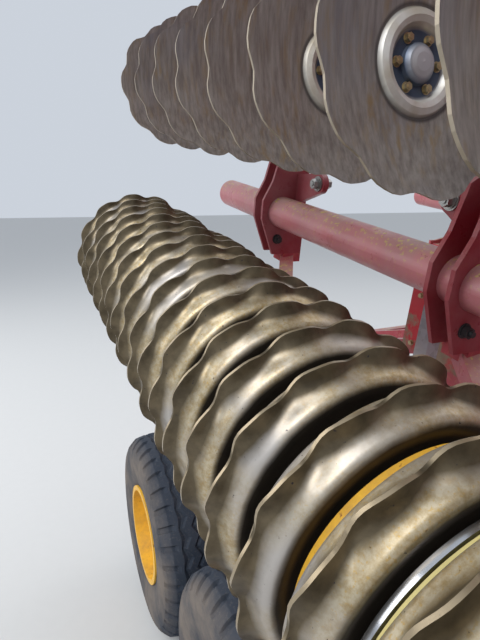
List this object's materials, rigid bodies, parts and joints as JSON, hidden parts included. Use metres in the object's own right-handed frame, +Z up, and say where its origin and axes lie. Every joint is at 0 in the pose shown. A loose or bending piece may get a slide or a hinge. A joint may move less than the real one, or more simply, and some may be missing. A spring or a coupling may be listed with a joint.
{
  "type": "disc harrow",
  "caption": "Towed disc harrow folded for the road, with wavy discs in two rows and a ring roller on each wing, tandem wheels, a drawbar with towing eye and a stand jack.",
  "frame": {"origin": "On the ground, on the machine's centre plane, half way along its overall length.", "axes": "+X to the machine's right, +Y forward to the towing eye, +Z up."},
  "size_m": [3.012, 6.147, 3.5088],
  "materials": {
    "red_paint": "faded, dusty red paint",
    "yellow_paint": "yellow paint with rust dust",
    "tyre": "dusty tyre rubber",
    "soil_steel": "soil-worn steel",
    "galvanised": "galvanised steel",
    "dark_steel": "black paint",
    "chrome": "chromed ram rod"
  },
  "bodies": {
    "chassis": {"main_frame": "red_paint", "hinge_mast": "red_paint", "drawbar": "red_paint", "tow_eye": "dark_steel", "side_panels": "red_paint", "lamp_boards": "red_paint", "axle_beam": "red_paint", "bogie_right": "red_paint", "bogie_left": "red_paint", "jack_tube": "red_paint"},
    "jack_foot": {"jack_leg": "galvanised"},
    "wheel_rear_right": {"tyre_rear_right": "tyre", "rim_rear_right": "yellow_paint"},
    "wheel_front_right": {"tyre_front_right": "tyre", "rim_front_right": "yellow_paint"},
    "wing_right": {"round_tube_right": "red_paint", "disc_beams_right": "red_paint", "cross_arms_right": "red_paint", "hinge_arms_right": "red_paint", "rear_disc_arms_right": "red_paint", "front_disc_arms_right": "red_paint", "rear_discs_right": "soil_steel", "front_discs_right": "soil_steel", "roller_frame_right": "red_paint", "post_right": "galvanised"},
    "roller_right": {"roller_right": "soil_steel"},
    "ram_barrel_right": {"ram_barrel_right": "dark_steel"},
    "ram_rod_right": {"ram_rod_right": "chrome"},
    "wheel_rear_left": {"tyre_rear_left": "tyre", "rim_rear_left": "yellow_paint"},
    "wheel_front_left": {"tyre_front_left": "tyre", "rim_front_left": "yellow_paint"},
    "wing_left": {"round_tube_left": "red_paint", "disc_beams_left": "red_paint", "cross_arms_left": "red_paint", "hinge_arms_left": "red_paint", "rear_disc_arms_left": "red_paint", "front_disc_arms_left": "red_paint", "rear_discs_left": "soil_steel", "front_discs_left": "soil_steel", "roller_frame_left": "red_paint", "post_left": "galvanised"},
    "roller_left": {"roller_left": "soil_steel"},
    "ram_barrel_left": {"ram_barrel_left": "dark_steel"},
    "ram_rod_left": {"ram_rod_left": "chrome"}
  },
  "joints": [
    {"name": "wheel_rear_right_spin", "type": "hinge", "parent": "chassis", "child": "wheel_rear_right", "pos_m": [1.17, -2.45748, 0.437], "axis": [1, 0, 0], "continuous": true},
    {"name": "wheel_front_right_spin", "type": "hinge", "parent": "chassis", "child": "wheel_front_right", "pos_m": [1.17, -1.50948, 0.437], "axis": [1, 0, 0], "continuous": true},
    {"name": "wing_swing_right", "type": "hinge", "parent": "chassis", "child": "wing_right", "pos_m": [0.56, 0.38007, 1.37064], "axis": [0, 0.1564, 0.9877], "range_deg": [0, 90]},
    {"name": "roller_spin_right", "type": "hinge", "parent": "wing_right", "child": "roller_right", "pos_m": [1.214, -1.48729, 1.4386], "axis": [0, 0.9877, -0.1564], "continuous": true},
    {"name": "ram_turn_right", "type": "hinge", "parent": "chassis", "child": "ram_barrel_right", "pos_m": [0.26, -1.00106, 1.63192], "axis": [0, 0.1564, 0.9877], "range_deg": [-12.52, 0]},
    {"name": "ram_stroke_right", "type": "slide", "parent": "ram_barrel_right", "child": "ram_rod_right", "axis": [0.0356, 0.9871, -0.1563], "range_m": [-0.21256, 0]},
    {"name": "wheel_rear_left_spin", "type": "hinge", "parent": "chassis", "child": "wheel_rear_left", "pos_m": [-1.17, -2.45748, 0.437], "axis": [1, 0, 0], "continuous": true},
    {"name": "wheel_front_left_spin", "type": "hinge", "parent": "chassis", "child": "wheel_front_left", "pos_m": [-1.17, -1.50948, 0.437], "axis": [1, 0, 0], "continuous": true},
    {"name": "wing_swing_left", "type": "hinge", "parent": "chassis", "child": "wing_left", "pos_m": [-0.56, 0.38007, 1.37064], "axis": [0, 0.1564, 0.9877], "range_deg": [-90, 0]},
    {"name": "roller_spin_left", "type": "hinge", "parent": "wing_left", "child": "roller_left", "pos_m": [-1.214, -1.48729, 1.4386], "axis": [0, 0.9877, -0.1564], "continuous": true},
    {"name": "ram_turn_left", "type": "hinge", "parent": "chassis", "child": "ram_barrel_left", "pos_m": [-0.26, -1.00106, 1.63192], "axis": [0, 0.1564, 0.9877], "range_deg": [0, 12.52]},
    {"name": "ram_stroke_left", "type": "slide", "parent": "ram_barrel_left", "child": "ram_rod_left", "axis": [-0.0356, 0.9871, -0.1563], "range_m": [-0.21256, 0]},
    {"name": "jack_slide", "type": "slide", "parent": "chassis", "child": "jack_foot", "axis": [0, 0, 1], "range_m": [0, 0.35]}
  ],
  "couplings": [
    {"joint": "ram_turn_right", "follows": "wing_swing_right", "ratio": -0.13914},
    {"joint": "ram_stroke_right", "follows": "wing_swing_right", "m_per_rad": -0.13532},
    {"joint": "ram_turn_left", "follows": "wing_swing_left", "ratio": -0.13914},
    {"joint": "ram_stroke_left", "follows": "wing_swing_left", "m_per_rad": 0.13532}
  ]
}
